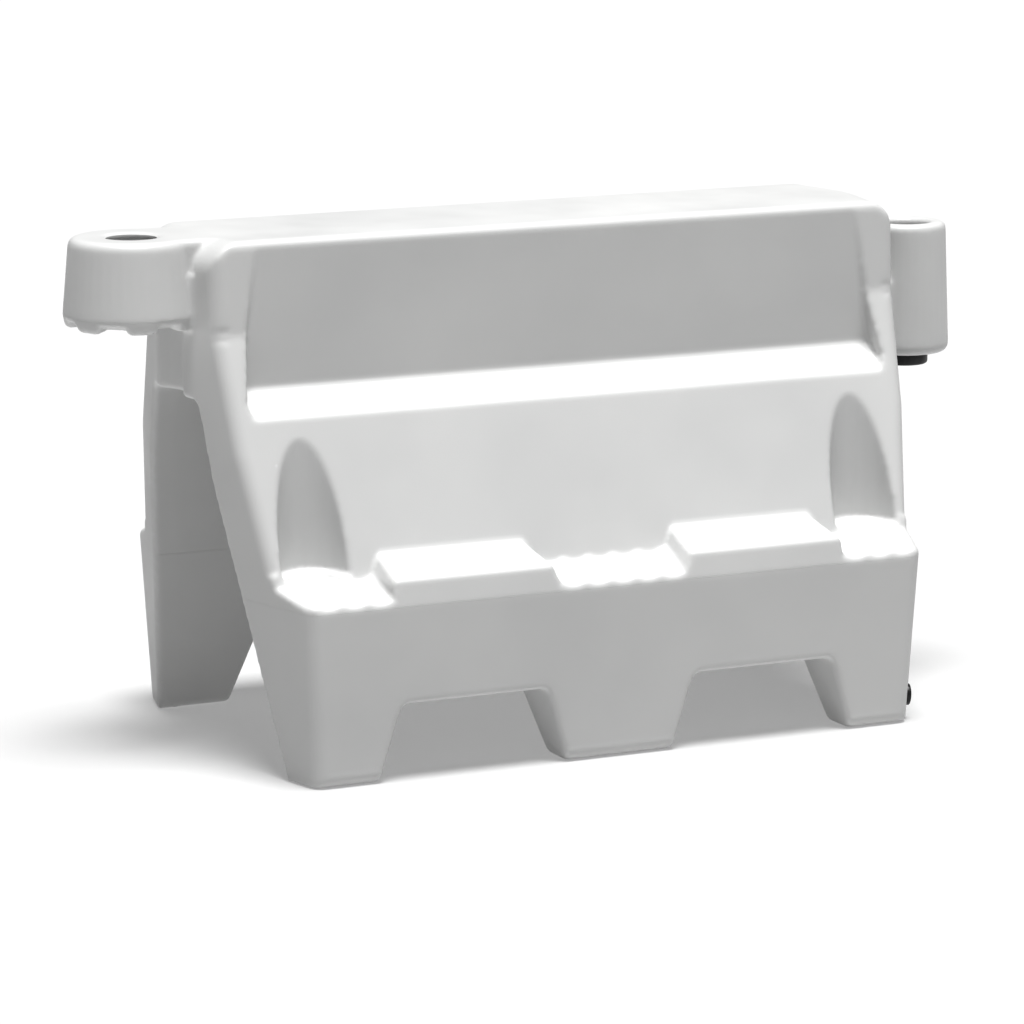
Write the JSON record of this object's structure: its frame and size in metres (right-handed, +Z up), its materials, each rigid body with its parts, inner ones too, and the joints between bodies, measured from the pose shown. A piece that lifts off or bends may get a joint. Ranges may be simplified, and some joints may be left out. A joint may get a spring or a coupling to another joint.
{
  "type": "water filled barrier",
  "caption": "Hollow saddle-shaped road barrier with spread legs, fork channels, notched ledges, a hood lug, a post lug, filler caps and drain bungs.",
  "frame": {"origin": "middle of the overall box, on the floor", "axes": "+X along the barrier towards the post lug, +Y to the back, +Z up"},
  "size_m": [1.519, 0.69, 0.8],
  "materials": {
    "shell": "natural white moulded polyethylene, satin",
    "cap": "black moulded polypropylene",
    "insert": "grey threaded plastic insert",
    "seal": "black rubber seal"
  },
  "bodies": {
    "barrier": {"barrier_shell": "shell", "filler_neck_left": "insert", "filler_neck_right": "insert", "drain_insert_front": "insert", "drain_insert_back": "insert"},
    "post_plug": {"post_plug": "cap", "post_plug_ring": "seal"},
    "filler_seal_left": {"filler_seal_left": "seal"},
    "filler_cap_left": {"filler_cap_left": "cap"},
    "filler_seal_right": {"filler_seal_right": "seal"},
    "filler_cap_right": {"filler_cap_right": "cap"},
    "drain_washer_front": {"drain_washer_front": "seal"},
    "drain_bung_front": {"drain_bung_front": "cap"},
    "drain_washer_back": {"drain_washer_back": "seal"},
    "drain_bung_back": {"drain_bung_back": "cap"}
  },
  "joints": [
    {"name": "post_plug_pull", "type": "slide", "parent": "barrier", "child": "post_plug", "axis": [0, 0, -1], "range_m": [0, 0.07]},
    {"name": "filler_lift_left", "type": "slide", "parent": "barrier", "child": "filler_seal_left", "axis": [0, 0.9997, -0.0232], "range_m": [0, 0.0185]},
    {"name": "filler_turn_left", "type": "hinge", "parent": "filler_seal_left", "child": "filler_cap_left", "pos_m": [-0.3755, 0.13107, 0.708], "axis": [0, 0.9997, -0.0232], "range_deg": [0, 1080]},
    {"name": "filler_lift_right", "type": "slide", "parent": "barrier", "child": "filler_seal_right", "axis": [0, 0.9997, -0.0232], "range_m": [0, 0.0185]},
    {"name": "filler_turn_right", "type": "hinge", "parent": "filler_seal_right", "child": "filler_cap_right", "pos_m": [0.3845, 0.13107, 0.708], "axis": [0, 0.9997, -0.0232], "range_deg": [0, 1080]},
    {"name": "drain_lift_front", "type": "slide", "parent": "barrier", "child": "drain_washer_front", "axis": [0.9686, -0.2415, -0.0593], "range_m": [0, 0.0155]},
    {"name": "drain_turn_front", "type": "hinge", "parent": "drain_washer_front", "child": "drain_bung_front", "pos_m": [0.52164, -0.3, 0.038], "axis": [0.9686, -0.2415, -0.0593], "range_deg": [0, 1800]},
    {"name": "drain_lift_back", "type": "slide", "parent": "barrier", "child": "drain_washer_back", "axis": [0.9686, 0.2415, -0.0593], "range_m": [0, 0.0155]},
    {"name": "drain_turn_back", "type": "hinge", "parent": "drain_washer_back", "child": "drain_bung_back", "pos_m": [0.52164, 0.3, 0.038], "axis": [0.9686, 0.2415, -0.0593], "range_deg": [0, 1800]}
  ],
  "couplings": [
    {"joint": "filler_lift_left", "follows": "filler_turn_left", "m_per_rad": 0.00095493},
    {"joint": "filler_lift_right", "follows": "filler_turn_right", "m_per_rad": 0.00095493},
    {"joint": "drain_lift_front", "follows": "drain_turn_front", "m_per_rad": 0.00047746},
    {"joint": "drain_lift_back", "follows": "drain_turn_back", "m_per_rad": 0.00047746}
  ]
}
